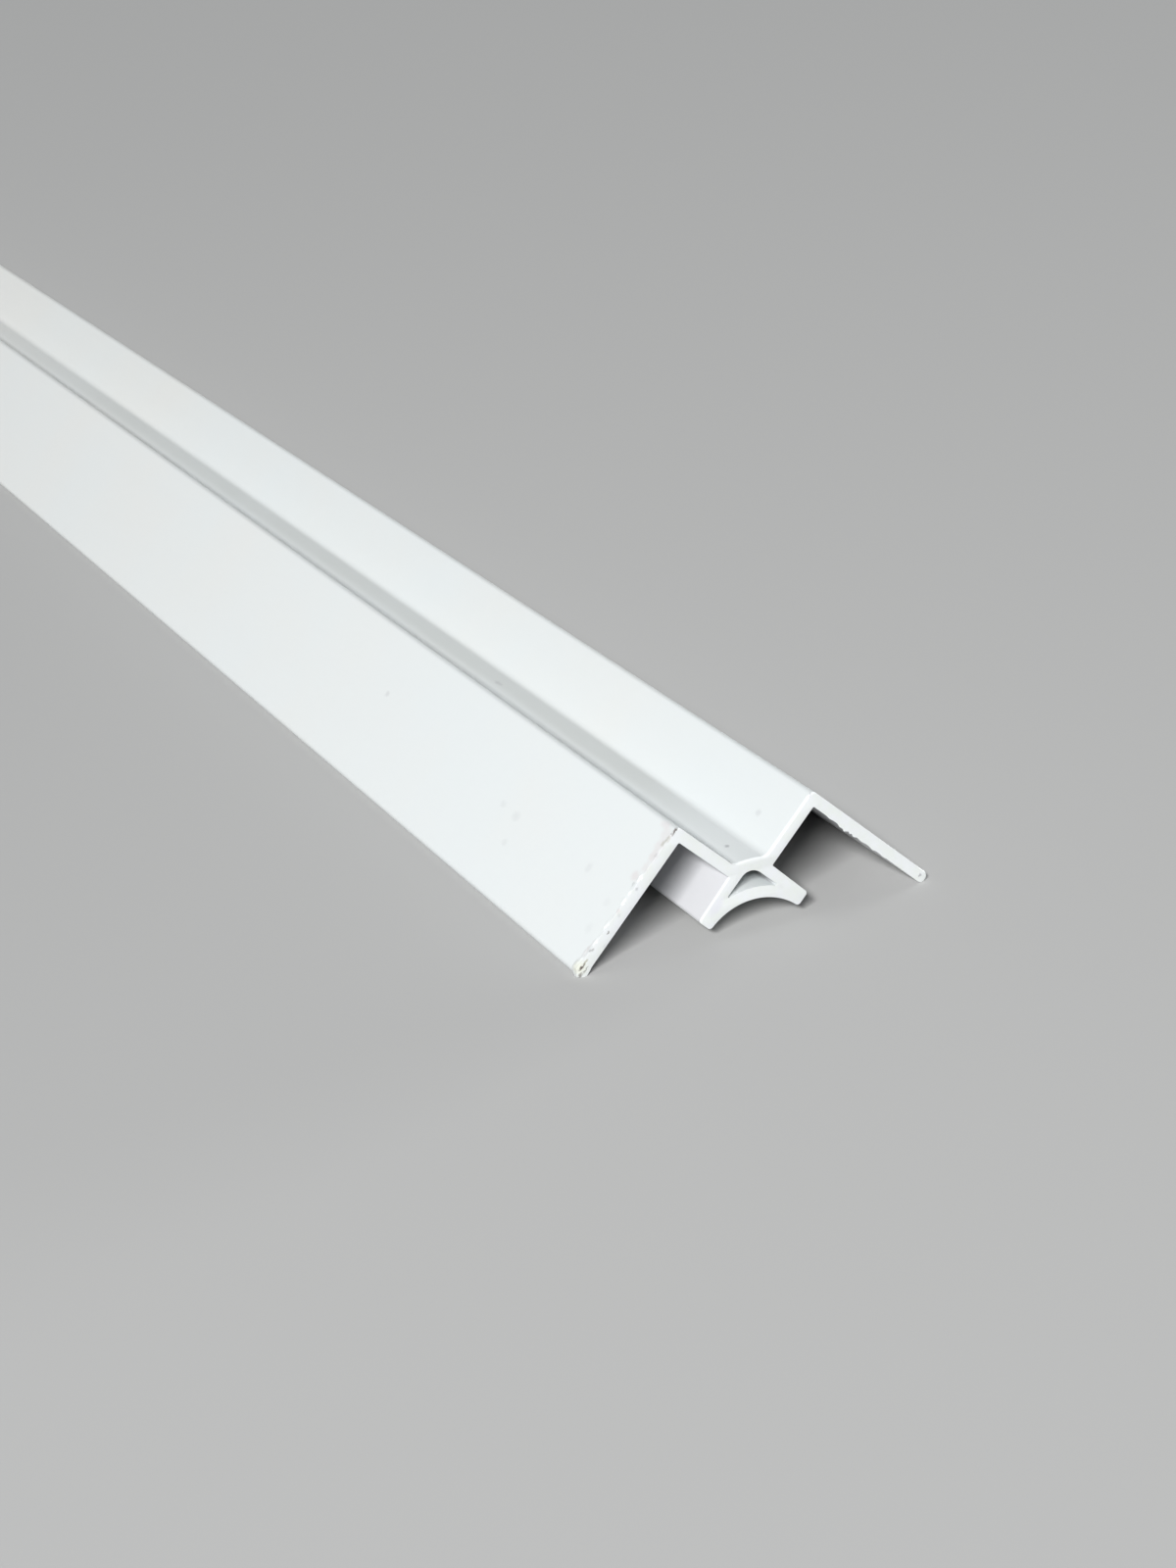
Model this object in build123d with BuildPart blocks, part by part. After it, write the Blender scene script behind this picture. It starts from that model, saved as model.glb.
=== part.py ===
"""Internal corner trim for 8 mm wall panels, extruded in one piece of white rigid PVC.

The section is the same on both sides of the corner. On each side a fixing flange lies against the wall, a
web stands on it, and a lip runs out from the web over the flange, so that a panel's edge slides in between
flange and lip. The two webs meet in a slanted nose behind, and a coved wall joins the tips of the lips in
front, with a three-sided hollow between nose and cove.

The section is drawn from the corner of the room: x runs along one wall, and y along the other. The length
lies along X on a level floor, on the tips of its flanges, with the coved face down and the nose up.
"""

import os
from math import sqrt

from build123d import *

# Length and section, in millimetres
stock_length = 2400.0  # as the trim is sold
wall = 1.5  # thickness of flanges, webs, lips and cove
panel_slot = 8.5  # clear width between flange and lip, for a panel 8 mm thick
flange_width = 21.0  # from the back of the web to the tip of the flange
web_setback = 4.1  # floor of the slot, behind the back of the other side's lip
cove_radius = 8.3  # hollow face that shows in the room
cove_edge = 0.7  # edge of the cove, in front of the lip that carries it
nose_bevel = 3.06  # slanted face across the corner of the two webs, measured along either web
nose_crown = 0.17  # rise of that face in its middle

# Small radii that the die leaves on the section's corners
heel_radius = 0.7  # outside corner of flange and web
nose_root_radius = 1.3  # where the nose's slanted face meets a web
root_radius = 0.2  # inside corners beside the webs
lip_edge_radius = 0.45  # both edges of a lip's tip
hollow_nose_radius = 1.7  # end of the hollow behind the nose
hollow_edge_radius = 0.15  # two thin ends of the hollow

# Places along either wall, from the corner of the room
lip_back = wall + panel_slot
lip_front = lip_back + wall
lip_tip = lip_front + cove_edge + cove_radius
slot_floor = lip_back + web_setback
web_back = slot_floor - wall
nose_foot = web_back - nose_bevel
nose_top = web_back - nose_bevel / 2 - nose_crown / sqrt(2)
flange_tip_radius = wall / 2
flange_tip_centre = web_back + flange_width - flange_tip_radius

# Height of the room's corner over the floor when both flange tips touch the floor
corner_height = (flange_tip_centre + flange_tip_radius) / sqrt(2) + flange_tip_radius

section_plane = Plane(origin=(-stock_length / 2, 0, corner_height), x_dir=(0, -1, -1), z_dir=(1, 0, 0))
mirror_plane = Plane(origin=(0, 0, 0), x_dir=(1, 1, 0), z_dir=(1, -1, 0))
low_corner = (Align.MIN, Align.MIN)


def corners(sketch, *places):
    """The corners of the sketch at these places, and those at their mirror places on the other wall."""
    both_sides = [*places, *((y, x) for x, y in places)]
    return [sketch.vertices().sort_by_distance(place)[0] for place in both_sides]


with BuildPart() as corner_trim:
    with BuildSketch(section_plane) as section:
        # Flange with its round tip, and the web that carries the lip
        with Locations((web_back, 0)):
            Rectangle(flange_tip_centre - web_back, wall, align=low_corner)
            Rectangle(wall, lip_back + wall / 2, align=low_corner)
        with Locations((flange_tip_centre, flange_tip_radius)):
            Circle(flange_tip_radius)
        mirror(about=mirror_plane)

        # Nose, lips and cove, as a block that is slanted behind and has the cove taken out in front
        with BuildLine():
            ThreePointArc((web_back, nose_foot), (nose_top, nose_top), (nose_foot, web_back))
            Polyline(
                (nose_foot, web_back), (lip_back, web_back), (lip_back, lip_tip), (lip_tip, lip_tip),
                (lip_tip, lip_back), (web_back, lip_back), (web_back, nose_foot))
        make_face()
        with Locations((lip_tip, lip_tip)):
            Circle(cove_radius, mode=Mode.SUBTRACT)

        fillet(corners(section, (lip_tip, lip_back), (lip_tip, lip_front + cove_edge)), lip_edge_radius)
        fillet(corners(section, (web_back, 0)), heel_radius)
        fillet(corners(section, (slot_floor, wall), (slot_floor, lip_back)), root_radius)
        fillet(corners(section, (web_back, nose_foot)), nose_root_radius)
    extrude(amount=stock_length)

    # Hollow that leaves one wall's thickness of nose, lips and cove around it
    with BuildSketch(section_plane) as hollow:
        with Locations((lip_front, lip_front)):
            Rectangle(lip_tip - lip_front, lip_tip - lip_front, align=low_corner)
        with Locations((lip_tip, lip_tip)):
            Circle(cove_radius + wall, mode=Mode.SUBTRACT)
        fillet(hollow.vertices().sort_by_distance((lip_front, lip_front))[0], hollow_nose_radius)
        fillet(hollow.vertices().sort_by_distance((lip_front, lip_front))[2:], hollow_edge_radius)
    extrude(amount=stock_length, mode=Mode.SUBTRACT)

corner_trim.part.label = "corner_trim"
os.makedirs("parts", exist_ok=True)
export_step(corner_trim.part, "parts/corner_trim.step")
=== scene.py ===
from math import cos, pi, radians, sin, sqrt, tan

import bmesh
import bpy
from mathutils import Matrix, Vector, noise
from mathutils.geometry import tessellate_polygon


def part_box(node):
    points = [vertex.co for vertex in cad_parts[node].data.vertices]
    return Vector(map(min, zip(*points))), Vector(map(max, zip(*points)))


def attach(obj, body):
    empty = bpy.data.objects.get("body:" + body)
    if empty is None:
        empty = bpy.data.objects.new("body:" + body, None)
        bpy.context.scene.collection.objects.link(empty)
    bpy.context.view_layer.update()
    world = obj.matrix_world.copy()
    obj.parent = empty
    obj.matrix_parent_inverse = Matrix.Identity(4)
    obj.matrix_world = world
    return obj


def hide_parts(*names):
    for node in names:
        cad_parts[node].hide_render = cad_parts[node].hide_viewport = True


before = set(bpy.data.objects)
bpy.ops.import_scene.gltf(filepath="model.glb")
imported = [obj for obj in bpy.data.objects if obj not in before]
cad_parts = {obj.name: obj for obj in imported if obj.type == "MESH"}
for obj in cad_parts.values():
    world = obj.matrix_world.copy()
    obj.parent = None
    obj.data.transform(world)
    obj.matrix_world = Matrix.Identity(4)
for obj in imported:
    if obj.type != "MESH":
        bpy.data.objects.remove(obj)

scene = bpy.context.scene
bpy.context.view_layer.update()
low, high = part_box("corner_trim")

# Camera: a forearm's length from the cut end and a little to its left. It looks along the trim from above,
# so that the far end runs out of the picture.
camera_from_end = Vector((0.3407, -0.1593, 0.1702))
camera_turn = (68.19, 5.46, 65.52)

camera_data = bpy.data.cameras.new("camera")
camera_data.sensor_fit = "VERTICAL"
camera_data.sensor_height = 36
camera_data.lens = 79.4
camera_data.clip_start = 0.01
camera_data.clip_end = 200
camera = bpy.data.objects.new("camera", camera_data)
camera.location = Vector((high.x, 0, 0)) + camera_from_end
camera.rotation_euler = [radians(angle) for angle in camera_turn]
scene.collection.objects.link(camera)
scene.camera = camera

# Floor: a plain pale matt sheet under the trim, wide enough to run out of every picture.
floor_colour = (0.50, 0.50, 0.495)
floor_half = 60.0

floor_mesh = bpy.data.meshes.new("floor")
floor_corners = [(x * floor_half, y * floor_half, 0) for x, y in ((-1, -1), (1, -1), (1, 1), (-1, 1))]
floor_mesh.from_pydata(floor_corners, [], [(0, 1, 2, 3)])
floor = bpy.data.objects.new("floor", floor_mesh)
scene.collection.objects.link(floor)
floor_paint = bpy.data.materials.new("floor_paint")
floor_paint.use_nodes = True
floor_shader = floor_paint.node_tree.nodes["Principled BSDF"]
floor_shader.inputs["Base Color"].default_value = (*floor_colour, 1)
floor_shader.inputs["Roughness"].default_value = 1.0
floor_shader.inputs["Specular IOR Level"].default_value = 0.0
floor_mesh.materials.append(floor_paint)

# Light: one broad soft light from far away on the near side of the cut end, a narrow one close to the cut,
# so that the trim gets a little darker along its length, a low weak one on the other side, and a dim room.
key_direction = Vector((0.69, -0.50, 0.53)).normalized()
fill_direction = Vector((-0.20, 0.97, 0.09)).normalized()
short_side = Vector((0, 1, 1))
light_sides = (0.35, 0.13)  # sides of a light for each metre of its distance
key_light = 12.6  # power of a light one metre away
# Name, direction from the cut end, distance in metres, beam in degrees, and share of the key light
lights = [
    ("far_key", key_direction, 200.0, 180, 0.71),
    ("near_key", key_direction, 1.1, 60, 0.042),
    ("fill", fill_direction, 200.0, 180, 0.4)]
room_colour = (0.93, 0.97, 1.0)
room_strength = 0.23

for name, direction, distance, beam, share in lights:
    light_data = bpy.data.lights.new(name, "AREA")
    light_data.shape = "RECTANGLE"
    light_data.size, light_data.size_y = [side * distance for side in light_sides]
    light_data.spread = radians(beam)
    light_data.energy = key_light * share * distance ** 2
    light = bpy.data.objects.new(name, light_data)
    light.location = Vector((high.x, 0, 0)) + direction * distance
    across = (short_side - short_side.project(direction)).normalized()
    light.rotation_euler = Matrix((across.cross(direction), across, direction)).transposed().to_euler()
    light.visible_camera = False
    scene.collection.objects.link(light)
room = bpy.data.worlds.new("room")
room.use_nodes = True
room.node_tree.nodes["Background"].inputs["Color"].default_value = (*room_colour, 1)
room.node_tree.nodes["Background"].inputs["Strength"].default_value = room_strength
scene.world = room
scene.view_settings.view_transform = "Standard"

# The trim: white rigid PVC, extruded in one piece, sawn to length, and fixed to the walls by its two flanges.
# Its section is drawn in millimetres from the corner of the room, x along one wall and y along the other, and
# is the same on both sides. Seen from the cut end, the flange along x is on the left.
wall = 1.5
panel_slot = 8.5
flange_width = 21.0
web_setback = 4.1
cove_radius = 8.3
cove_edge = 0.7
nose_bevel = 3.06
nose_crown = 0.17
heel_radius = 0.7
nose_root_radius = 1.3
root_radius = 0.2
lip_lean = 0.2
lip_edge_radius = 0.45
hollow_nose_radius = 1.7
hollow_edge_radius = 0.15

lip_back = wall + panel_slot
lip_front = lip_back + wall
lip_tip = lip_front + cove_edge + cove_radius
slot_floor = lip_back + web_setback
web_back = slot_floor - wall
flange_end = web_back + flange_width
corner_height = flange_end / sqrt(2) + wall / 2
nose_foot = web_back - nose_bevel
nose_top = web_back - nose_bevel / 2 - nose_crown / sqrt(2)
nose_radius = (nose_bevel ** 2 / 2 + nose_crown ** 2) / (2 * nose_crown)
nose_centre = nose_top + nose_radius / sqrt(2)
hollow_radius = cove_radius + wall
hollow_end = lip_tip - sqrt(hollow_radius ** 2 - (lip_tip - lip_front) ** 2)
length = (high.x - low.x) * 1000

arc_step = 14  # degrees between the corners of an arc, times its radius
round_step = 12  # degrees between the points of a rounded corner
fine_spacing = 0.16  # between points on the back of the left flange, which has the torn edge
plain_spacing = 0.3  # between points elsewhere


def arc(x, y, radius, start, end):
    """Corners with no round of their own, on a circle between two angles in degrees."""
    steps = max(2, round(abs(end - start) * radius / arc_step))
    angles = [radians(start + (end - start) * step / steps) for step in range(steps + 1)]
    return [(x + radius * cos(angle), y + radius * sin(angle), 0) for angle in angles]


def rounded(corners):
    """The points of a closed outline, with the corners (x, y, radius) rounded."""
    points = []
    for i, (x, y, radius) in enumerate(corners):
        corner = Vector((x, y))
        if radius == 0:
            points.append(corner)
            continue
        before = (Vector(corners[i - 1][:2]) - corner).normalized()
        after = (Vector(corners[(i + 1) % len(corners)][:2]) - corner).normalized()
        half = before.angle(after) / 2
        centre = corner + (before + after).normalized() * radius / sin(half)
        first = corner + before * radius / tan(half) - centre
        last = corner + after * radius / tan(half) - centre
        steps = max(4, round((pi - 2 * half) / radians(round_step)))
        points += [centre + first.slerp(last, step / steps) * radius for step in range(steps + 1)]
    return points


def evenly(points):
    """The same closed outline with more points, closest together on the back of the left flange."""
    filled = []
    for point, following in zip(points, points[1:] + points[:1]):
        on_torn_flange = min(point.y, following.y) < 0.1 and point.x > web_back
        spacing = fine_spacing if on_torn_flange else plain_spacing
        parts = max(1, round((following - point).length / spacing + 0.4))
        filled += [point.lerp(following, part / parts) for part in range(parts)]
    return filled


def both_sides(half):
    """The corners of one side, from the nose round to the cove, and those of the other side."""
    return half + [(y, x, radius) for x, y, radius in reversed(half)][1:-1]


outline = both_sides([
    *arc(nose_centre, nose_centre, nose_radius, 225, 231),
    (web_back, nose_foot, nose_root_radius),
    (web_back, 0, heel_radius),
    *arc(flange_end - wall / 2, wall / 2, wall / 2, -90, 90),
    (slot_floor, wall, root_radius),
    (slot_floor, lip_back, root_radius),
    (lip_tip, lip_back + lip_lean, lip_edge_radius),
    (lip_tip, lip_front + cove_edge, lip_edge_radius),
    *arc(lip_tip, lip_tip, cove_radius, 266, 225)])
hollow = both_sides([
    (lip_front, lip_front, hollow_nose_radius),
    (hollow_end, lip_front, hollow_edge_radius),
    *arc(lip_tip, lip_tip, hollow_radius, 241, 225)])

# The cut: the saw rolled over the edges of the faces that look left, and left the others nearly sharp. It
# tore the edge of the left flange, swelled that flange's tip and left the right flange's lower edge ragged.
torn_edge = 0.03
sharp_edge = 0.05
rolled_edge = 0.26
facing_gain = 1.3  # so that the slanted nose, which looks only half to the left, is rolled nearly in full
at_flange_tip = 0.7  # share of the rolled edge at the flange tips
at_lip = 0.6  # and on the back of the left lip
skin = 0.3  # reach of the torn edge into the flange's thickness
past_heel = web_back + 0.5

# Lumps of the torn edge at (x, depth), with their half length, half width and height
lumps = [
    (14.6, 0.25, 0.5, 0.15, 0.03), (16.1, 0.2, 0.6, 0.14, 0.03), (18.2, 0.25, 0.4, 0.16, 0.04),
    (20.1, 0.24, 0.76, 0.27, 0.18), (22.2, 0.22, 0.46, 0.22, 0.13), (23.45, 0.24, 0.68, 0.25, 0.16),
    (24.9, 0.3, 0.35, 0.15, 0.03), (26.85, 0.26, 0.8, 0.25, 0.16), (29.15, 0.2, 0.62, 0.22, 0.13),
    (30.7, 0.8, 0.5, 0.2, 0.06), (31.7, 0.6, 0.4, 0.2, 0.06), (32.3, 0.5, 0.4, 0.2, 0.08)]
torn_start = web_back + 0.8
torn_reach = 2.0
roughened = 0.035  # height of the roughness between the lumps
roughened_reach = 1.2
crest_wander = 0.12
# Teeth of the ragged edge at y, with their half width and height
teeth = [
    (17.0, 0.7, 0.08), (18.9, 0.6, 0.2), (19.7, 0.5, 0.34), (20.6, 0.3, 0.16), (21.3, 0.35, 0.24),
    (22.6, 0.8, 0.09), (24.6, 0.6, 0.12), (26.5, 0.7, 0.06)]
teeth_reach = 0.6
teeth_face = (1.2, 2.2)  # lowest and highest x of the teeth, about the flange's lower face
tip_swelling = 0.23
tip_start = 31.8
tip_middle = Vector((flange_end - 1.4, wall / 2))
swelling_reach = 1.25

# Rings of points along the length: the rolled edge of the cut, one close behind it that holds the edge, close
# ones for the torn edge, and wider ones for the long straight rest. Each has a depth behind the cut end.
edge_turns = [radians(turn) for turn in (0, 22.5, 45, 67.5, 90)]
holding_depth = 0.04
torn_depths = [0.42, 0.52, 0.62, 0.72, 0.82, 0.92, 1.02, 1.14, 1.28, 1.45, 1.7, 2.1]
long_depths = [3, 5, 9, 16, 30, 60, 120] + [length * part / 10 for part in range(1, 10)]
far_depths = [length - depth for depth in (120, 60, 30, 16, 9, 5, 3, 1.7, 0.8, 0.5)]
plain_depths = torn_depths + long_depths + far_depths
sharp_angle = 38


def clamp(value):
    return max(0.0, min(1.0, value))


def hump(distance):
    """A smooth rise, 1 in the middle and 0 from one unit away."""
    return (1 - distance * distance) ** 2 if abs(distance) < 1 else 0.0


def edge_radius(point, out):
    """Radius of the edge of the cut at a point of the outline, where out points away from the plastic."""
    if point.y < skin and point.x > past_heel:
        return torn_edge
    near_tip = clamp((1.3 - min(point)) / 0.5) * clamp((max(point) - 30) / 2)
    on_lip = point.x > slot_floor and point.y > lip_back - 0.1
    facing_left = -facing_gain * out.y * (at_lip if on_lip else 1.0)
    return sharp_edge + rolled_edge * clamp(max(at_flange_tip * near_tip, facing_left))


def torn(point, depth):
    """The point of the section moved by what the saw tore at the cut end."""
    x, y = point
    moved = Vector((0.0, 0.0))
    if depth < torn_reach and y < skin and x > torn_start:
        roughness = noise.noise(Vector((x * 1.9, depth * 3.1, 4.7)))
        lift = roughened * roughness * hump(depth / roughened_reach) * clamp((33 - x) / 0.6)
        for along, behind, half_length, half_width, height in lumps:
            crest = behind + crest_wander * noise.noise(Vector((x * 1.4, 9.2, along)))
            shape = hump((x - along) / half_length) * hump((depth - crest) / half_width)
            lift += height * shape * (1 + 0.5 * noise.noise(Vector((x * 4, depth * 4, 1.3))))
        moved.y -= lift * clamp((skin - y) / 0.15)
    if depth < teeth_reach and teeth_face[0] < x < teeth_face[1] and y > slot_floor:
        ledge = sum(height * hump((y - along) / half) for along, half, height in teeth)
        moved.x += ledge * hump(depth / 0.55) * clamp((x - teeth_face[0]) / 0.3)
    if depth < swelling_reach and y < wall + 0.1 and x > tip_start:
        swell = tip_swelling * clamp((x - tip_start) / 1.2) * clamp((swelling_reach - depth) / 0.3)
        moved += (point - tip_middle).normalized() * swell
    return point + moved


def in_row(point, depth):
    """A point of the section at this depth behind the cut end, in metres in the frame."""
    across = max(low.y * 1000, (point.y - point.x) / sqrt(2))
    up = max(low.z * 1000, corner_height - (point.x + point.y) / sqrt(2))
    return Vector((high.x - depth / 1000, across / 1000, up / 1000))


# Sides of the outline and of the hollow, ring by ring from the cut end to the far end
verts, faces, rims = [], [], []
for corners, turning in ((outline, 1), (hollow, -1)):
    points = evenly(rounded(corners))
    if turning * sum(a.cross(b) for a, b in zip(points, points[1:] + points[:1])) < 0:
        points.reverse()
    sections = []
    for i, point in enumerate(points):
        along = (points[(i + 1) % len(points)] - points[i - 1]).normalized()
        out = Vector((along.y, -along.x))
        radius = edge_radius(point, out) if turning > 0 else sharp_edge
        near = [(point - out * radius * (1 - sin(turn)), radius * (1 - cos(turn))) for turn in edge_turns]
        near.append((point, radius + holding_depth))
        far = [(place, length - depth) for place, depth in reversed(near)]
        sections.append(near + [(point, depth) for depth in plain_depths] + far)
    starts = []
    for ring in zip(*sections):
        starts.append(len(verts))
        verts += [in_row(torn(place, depth), depth) for place, depth in ring]
    count = len(points)
    for here, there in zip(starts, starts[1:]):
        for i in range(count):
            j = (i + 1) % count
            faces.append((here + i, here + j, there + j, there + i))
    rims.append([range(starts[0], starts[0] + count), range(starts[-1], starts[-1] + count)])

# The two ends, flat between the outline and the hollow
side_faces = len(faces)
for outer, inner in zip(*rims):
    flat = [[Vector((verts[v].y, verts[v].z, 0)) for v in rim] for rim in (outer, inner)]
    numbers = [*outer, *inner]
    faces += [tuple(numbers[corner] for corner in triangle) for triangle in tessellate_polygon(flat)]

trim_mesh = bpy.data.meshes.new("corner_trim_length")
trim_mesh.from_pydata(verts, [], faces)
shape = bmesh.new()
shape.from_mesh(trim_mesh)
bmesh.ops.recalc_face_normals(shape, faces=shape.faces)
shape.to_mesh(trim_mesh)
shape.free()
trim_mesh.shade_smooth()
for end_face in trim_mesh.polygons[side_faces:]:
    end_face.use_smooth = False
trim_mesh.set_sharp_from_angle(angle=radians(sharp_angle))
trim = bpy.data.objects.new("corner_trim_length", trim_mesh)
scene.collection.objects.link(trim)


class Wire:
    """One output of a shader node, on which sums and further nodes are written as Python expressions."""

    def __init__(self, tree, socket=None):
        self.tree = tree
        self.socket = socket

    def node(self, kind, settings, inputs, output=0):
        made = self.tree.nodes.new("ShaderNode" + kind)
        for name, value in settings.items():
            setattr(made, name, value)
        for name, value in inputs.items():
            if isinstance(value, Wire):
                self.tree.links.new(value.socket, made.inputs[name])
            else:
                made.inputs[name].default_value = value
        return Wire(self.tree, made.outputs[output])

    def math(self, operation, *values):
        return self.node("Math", {"operation": operation}, dict(enumerate((self, *values))))

    def __add__(self, other):
        return self.math("ADD", other)

    def __sub__(self, other):
        return self.math("SUBTRACT", other)

    def __mul__(self, other):
        return self.math("MULTIPLY", other)

    def __truediv__(self, other):
        return self.math("DIVIDE", other)

    def __rsub__(self, other):
        return self.math("MULTIPLY", -1.0) + other

    __radd__ = __add__
    __rmul__ = __mul__

    def fade(self, start, end):
        """0 up to the start, 1 from the end on, and smooth between them."""
        return self.node("MapRange", {"interpolation_type": "SMOOTHSTEP"},
                         {"Value": self, "From Min": start, "From Max": end})

    def coloured(self, under, over):
        """The colour under where this is 0, and the colour over it where this is 1."""
        return self.node("Mix", {"data_type": "RGBA"}, {"Factor": self, 6: under, 7: over}, 2)


# White PVC: every place is known by its depth behind the cut end and its place in the section. The white gets
# warmer along the length; painted shade makes it greyer on the sawn end and the nose, and greyer and cooler
# inside the slots.
cool_white = (0.745, 0.778, 0.780, 1)
cream_white = (0.76, 0.768, 0.750, 1)
# Painted shade: the sawn end is painted greyer, so that it is no brighter than the flanges
shaded_sawn_white = (0.655, 0.683, 0.665, 1)
shaded_sawn_cool = (0.67, 0.690, 0.705, 1)
# Painted shade: the insides of the slots are painted greyer and cooler
slot_shade_white = (0.71, 0.715, 0.735, 1)
# Painted shade: the nose is painted greyer
nose_shade_white = (0.645, 0.67, 0.66, 1)
cream_length = 420
# Where each of the other whites starts and is full, or ends and is gone
sawn_depths = (0.01, 0.09)
slot_back, slot_front, slot_side = (1.3, 1.6), (10.25, 10.5), (13.8, 14.2)
nose_sides, nose_feet, nose_left = (9.3, 9.9), (12.8, 13.2), (11.0, 12.3)
nose_shade_start, nose_shade_end = (5, 35), (160, 420)

# Surface: lines from the die along the trim, a faint orange peel, and the saw's lines across the cut
die_line_height = 0.010
peel_height = 0.012
saw_line_height = 0.02
least_roughness = 0.28

pvc = bpy.data.materials.new("white_pvc")
pvc.use_nodes = True
pvc_shader = pvc.node_tree.nodes["Principled BSDF"]
frame_place = Wire(pvc.node_tree).node("TexCoord", {}, {}, "Object")
row_x, row_y, row_z = (frame_place.node("SeparateXYZ", {}, {0: frame_place}, axis) * 1000 for axis in "XYZ")
depth = high.x * 1000 - row_x
drop = corner_height - row_z
section_x = (drop - row_y) / sqrt(2)
section_y = (drop + row_y) / sqrt(2)
nearer = section_x.math("MINIMUM", section_y)
farther = section_x.math("MAXIMUM", section_y)
from_end = depth.math("MINIMUM", length - depth)


def vector(x, y, z):
    return frame_place.node("CombineXYZ", {}, {0: x, 1: y, 2: z})


def texture(where, scale, detail=2.0, roughness=0.5, output=0):
    return frame_place.node(
        "TexNoise", {}, {"Vector": where, "Scale": scale, "Detail": detail, "Roughness": roughness}, output)


section_place = vector(depth, section_x, section_y)
clouds = texture(section_place, 0.035, 3.0)
peel = texture(section_place, 0.55, 3.0)
die_lines = texture(vector(depth * 0.004, section_x * 2.2, section_y * 2.2), 1.0, 4.0, 0.65)
saw_lines = texture(vector(depth, (section_x + section_y) * 0.5, (section_x - section_y) * 7), 1.0, 3.0)
sawn = 1 - from_end.fade(*sawn_depths)

creaminess = (depth / cream_length + (clouds - 0.5) * 1.6).math("MAXIMUM", 0.0).math("MINIMUM", 1.0)
colour = creaminess.coloured(cool_white, cream_white)
# Painted shade inside the slots
slot_shade = nearer.fade(*slot_back) * (1 - nearer.fade(*slot_front)) * farther.fade(*slot_side)
colour = slot_shade.coloured(colour, slot_shade_white)
# Painted shade on the nose: mottled, weaker on its left side, from a few mm behind the cut end and fading out
# further along
on_nose = nearer.fade(*nose_sides) * (1 - farther.fade(*nose_feet))
on_nose = on_nose * (1 - 0.6 * section_x.fade(*nose_left))
nose_shade = on_nose * depth.fade(*nose_shade_start) * (1 - depth.fade(*nose_shade_end)) * (clouds * 0.8 + 0.6)
colour = nose_shade.math("MINIMUM", 1.0).coloured(colour, nose_shade_white)
shaded_sawn_colour = texture(section_place, 0.45, 4.0, 0.6).fade(0.35, 0.65).coloured(shaded_sawn_white, shaded_sawn_cool)
colour = sawn.coloured(colour, shaded_sawn_colour)

# Marks, each at (depth, x, y), with its half sizes, colour and strength. Their edges wander a little.
brown = (0.10, 0.08, 0.07, 1)
olive = (0.36, 0.35, 0.27, 1)
grey = (0.33, 0.33, 0.35, 1)
dull = (0.48, 0.44, 0.44, 1)
straw = (0.72, 0.72, 0.57, 1)
blush = (0.66, 0.60, 0.60, 1)
lilac_shade = (0.58, 0.575, 0.65, 1)
highlight_white = (0.88, 0.91, 0.91, 1)
torn_edge_marks = [
    ((2.2, 13.3, 0.0), (1.5, 0.6, 0.5), blush, 0.4), ((0.9, 14.2, 0.0), (1.4, 1.0, 0.4), blush, 0.35),
    ((0.8, 15.7, 0.0), (1.1, 1.0, 0.4), blush, 0.4), ((0.6, 17.1, 0.0), (0.9, 1.0, 0.4), blush, 0.5),
    ((0.6, 18.7, 0.0), (0.8, 0.9, 0.4), blush, 0.35), ((1.3, 20.2, 0.0), (1.0, 0.8, 0.4), blush, 0.5),
    ((0.0, 24.7, 0.05), (0.3, 0.35, 0.3), blush, 0.5), ((0.6, 30.9, 0.0), (0.45, 1.0, 0.4), dull, 0.3),
    ((0.6, 30.2, 0.0), (0.3, 0.7, 0.4), dull, 0.3), ((0.5, 29.3, 0.0), (0.25, 0.6, 0.4), dull, 0.25),
    ((0.0, 13.2, 0.15), (0.4, 0.82, 0.19), brown, 0.9), ((0.15, 14.5, 0.0), (0.35, 0.55, 0.3), olive, 0.5),
    ((0.4, 15.2, 0.0), (0.4, 0.55, 0.3), olive, 0.5), ((0.2, 16.85, 0.0), (0.3, 0.3, 0.3), grey, 0.25),
    ((0.66, 21.1, 0.0), (0.3, 0.4, 0.3), grey, 0.35), ((0.0, 21.3, 0.41), (0.3, 0.28, 0.22), grey, 0.5),
    ((0.0, 25.05, 0.47), (0.3, 0.35, 0.25), grey, 0.25), ((0.0, 27.4, 0.62), (0.3, 0.22, 0.16), brown, 0.85),
    ((0.0, 30.38, 0.02), (0.3, 0.22, 0.15), brown, 0.4), ((0.0, 30.2, 0.17), (0.3, 0.22, 0.13), brown, 0.45),
    ((0.0, 30.02, 0.3), (0.3, 0.2, 0.13), brown, 0.4), ((0.0, 28.9, 1.2), (0.3, 0.4, 0.2), grey, 0.2)]
# Painted shade: lilac-grey on the end of the left lip, and grey in the narrow end of the hollow, where little
# light reaches
lip_and_hollow_shade = [
    ((0.0, 18.0, 10.95), (0.3, 1.6, 0.8), lilac_shade, 0.45), ((2.8, 11.5, 16.6), (2.8, 0.75, 1.3), grey, 0.8)]
flange_tip_marks = [
    ((0.3, 32.8, 0.1), (1.1, 1.1, 1.1), straw, 0.5), ((0.0, 31.8, 0.37), (0.3, 0.65, 0.14), olive, 0.8),
    ((0.0, 32.45, 0.4), (0.35, 0.6, 0.22), brown, 1.0), ((0.0, 32.5, 1.0), (0.3, 0.6, 0.14), brown, 0.6),
    ((0.0, 33.4, 0.88), (0.4, 0.42, 0.3), brown, 0.7)]
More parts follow.
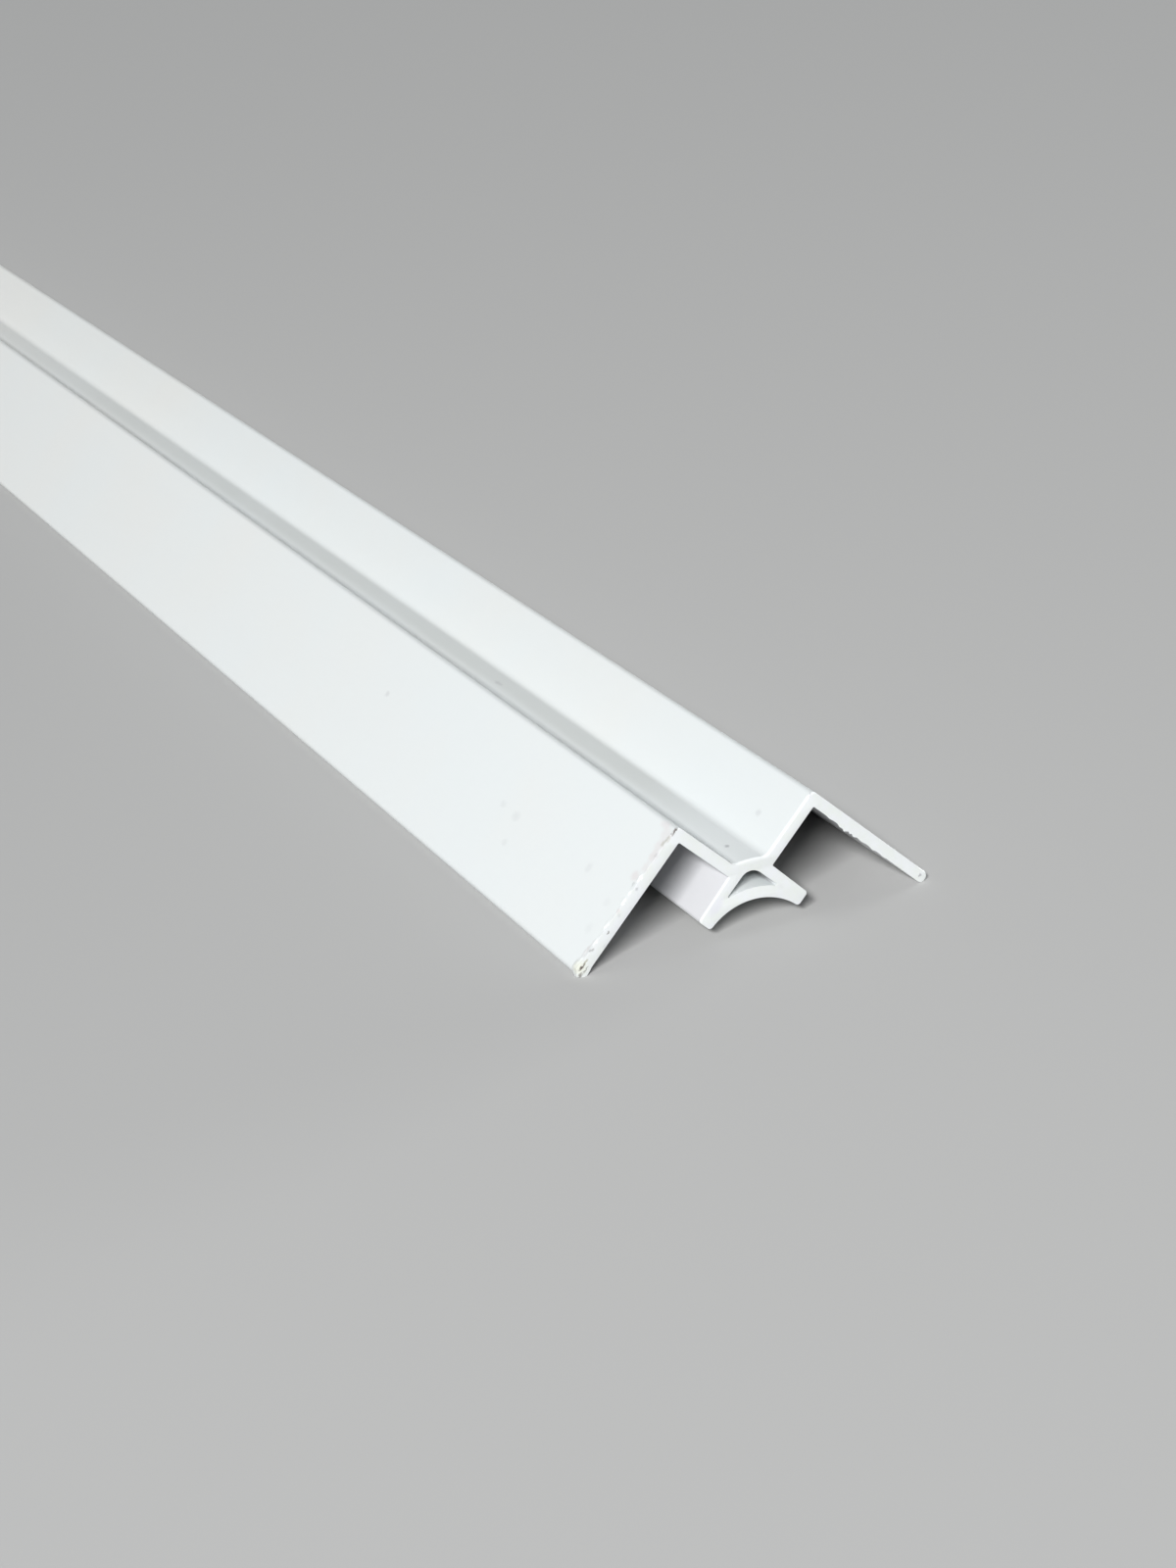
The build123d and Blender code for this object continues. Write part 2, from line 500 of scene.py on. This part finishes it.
specks_and_pit_shade = [
    # Painted shade: the second speck, on the end of the right flange near its tip, is the dark of a small pit
    # that the mesh doesn't have
    ((0.0, 0.45, 12.68), (0.35, 0.5, 0.17), grey, 0.7), ((0.0, 0.76, 32.55), (0.3, 0.3, 0.22), grey, 0.9),
    ((3.2, 24.7, 0.0), (0.8, 0.7, 0.5), grey, 0.07), ((3.1, 28.4, 0.0), (0.8, 0.8, 0.5), grey, 0.08),
    ((79.9, 21.0, 0.0), (0.7, 0.5, 0.5), grey, 0.25), ((32.1, 23.35, 0.0), (1.2, 0.8, 0.5), grey, 0.13),
    ((36.5, 23.1, 0.0), (0.9, 0.6, 0.5), grey, 0.12), ((30.8, 26.75, 0.0), (0.8, 0.6, 0.5), grey, 0.12),
    ((10.9, 22.8, 0.0), (0.8, 0.8, 0.5), grey, 0.12), ((75.5, 11.15, 10.8), (1.4, 0.3, 0.5), grey, 0.3),
    ((6.8, 5.8, 12.6), (0.7, 0.5, 0.5), grey, 0.22), ((5.25, 11.25, 10.7), (0.5, 0.26, 0.5), grey, 0.7),
    ((18.5, 9.1, 10.8), (0.5, 0.3, 0.6), grey, 0.25), ((20.0, 10.1, 10.8), (0.4, 0.3, 0.6), grey, 0.25)]
wander = texture(section_place, 3.0, output="Color")
wander = wander.node("VectorMath", {"operation": "MULTIPLY_ADD"},
                     {0: wander, 1: (0.5, 0.5, 0.5), 2: (-0.25, -0.25, -0.25)})
wandering = wander.node("VectorMath", {"operation": "ADD"}, {0: section_place, 1: wander})


def away(centre, half_sizes):
    """Distance from a centre, 1 at the half sizes."""
    offset = wandering.node("VectorMath", {"operation": "SUBTRACT"}, {0: wandering, 1: centre})
    scaled = offset.node("VectorMath", {"operation": "DIVIDE"}, {0: offset, 1: half_sizes})
    return scaled.node("VectorMath", {"operation": "LENGTH"}, {0: scaled}, "Value")


for centre, half_sizes, mark_colour, strength in (
        torn_edge_marks + lip_and_hollow_shade + flange_tip_marks + specks_and_pit_shade):
    colour = ((1 - away(centre, half_sizes).fade(0.3, 1.2)) * strength).coloured(colour, mark_colour)
# Painted highlight: the higher lumps of the torn edge are painted whiter than the plastic around them, where
# light catches them
for along, behind, half_length, half_width, height in lumps:
    lump_highlight = 1 - away((behind, along, 0.0), (half_width, half_length, 0.4)).fade(0.5, 1.1)
    colour = (lump_highlight * clamp(height * 12 - 0.6)).coloured(colour, highlight_white)

relief = die_lines * die_line_height + peel * peel_height + saw_lines * sawn * saw_line_height
bump = relief.node("Bump", {}, {"Strength": 1.0, "Distance": 0.001, "Height": relief})
roughness = least_roughness + peel * 0.12 + die_lines * 0.08 + sawn * 0.22
pvc.node_tree.links.new(colour.socket, pvc_shader.inputs["Base Color"])
pvc.node_tree.links.new(roughness.socket, pvc_shader.inputs["Roughness"])
pvc.node_tree.links.new(bump.socket, pvc_shader.inputs["Normal"])
trim_mesh.materials.append(pvc)
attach(trim, "root")
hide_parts("corner_trim")
